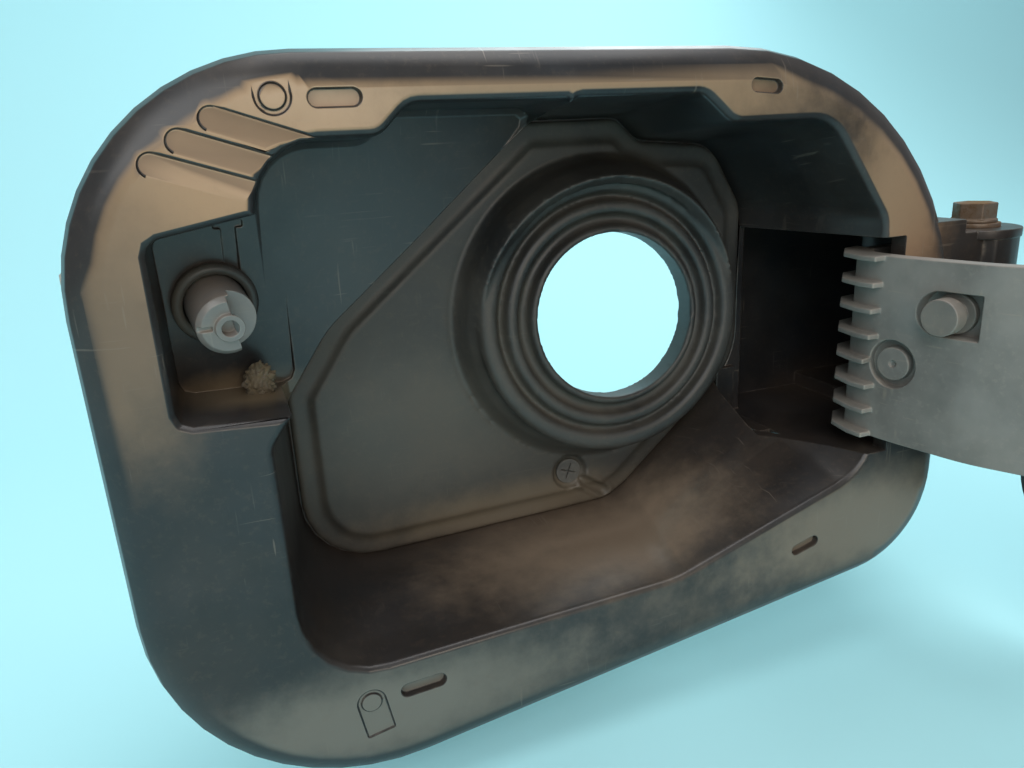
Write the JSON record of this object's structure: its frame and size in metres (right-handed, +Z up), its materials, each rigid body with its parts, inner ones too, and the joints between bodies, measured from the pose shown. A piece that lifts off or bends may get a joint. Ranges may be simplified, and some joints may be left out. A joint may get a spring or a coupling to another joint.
{
  "type": "fuel filler flap housing",
  "caption": "Black fuel filler flap housing with a rubber filler boot, a sprung lock plunger and a flap on a curved hinge arm that swings shut over it.",
  "frame": {"origin": "centre of the filler boot's collar, on the plane of its lip", "axes": "-Y out of the car through the flap opening, +Y towards the tank, +Z up as the picture shows it, +X towards the hinge"},
  "size_m": [0.273, 0.2876, 0.1632],
  "materials": {
    "housing_plastic": "satin, dusty",
    "boot_rubber": "matte",
    "valve_rubber": "matte, dirty",
    "arm_plastic": "satin, scuffed",
    "peg_plastic": "satin",
    "dusty_steel": "dusty, brown film",
    "bright_steel": "plain",
    "flap_plastic": "satin",
    "screw_steel": "dark",
    "plunger_plastic": "milky, slightly see-through",
    "latch_plastic": "satin",
    "slide_plastic": "satin, pale",
    "motor_steel": "plain"
  },
  "bodies": {
    "base": {"housing": "housing_plastic", "filler_boot": "boot_rubber", "drain_valve": "valve_rubber", "hinge_bolt": "dusty_steel", "hinge_washer": "dusty_steel", "hinge_nut": "dusty_steel", "pivot_sleeve": "bright_steel", "detent_spring": "bright_steel", "plunger_gaiter": "boot_rubber", "latch_case": "latch_plastic", "latch_cover": "latch_plastic", "latch_seal": "boot_rubber", "plunger_spring": "bright_steel", "lock_motor": "motor_steel", "latch_socket": "latch_plastic", "latch_screws": "screw_steel"},
    "door": {"hinge_arm": "arm_plastic", "tether_peg": "peg_plastic", "flap": "flap_plastic", "flap_screws": "screw_steel", "flap_catch": "latch_plastic", "flap_buffers": "boot_rubber"},
    "plunger": {"lock_plunger": "plunger_plastic"},
    "bolt": {"lock_slide": "slide_plastic"}
  },
  "joints": [
    {"name": "flap_hinge", "type": "hinge", "parent": "base", "child": "door", "pos_m": [0.103, -0.023, -0.0105], "axis": [0, 0, 1], "range_deg": [-95, 0]},
    {"name": "plunger_travel", "type": "slide", "parent": "base", "child": "plunger", "axis": [-0.153, 0.9661, 0.2079], "range_m": [0, 0.008], "stiffness_N_per_m": 300, "springref_m": -0.01, "deforming": ["plunger_spring"]},
    {"name": "lock_slide_travel", "type": "slide", "parent": "base", "child": "bolt", "axis": [0.9877, 0.1564, 0], "range_m": [0, 0.004]}
  ]
}
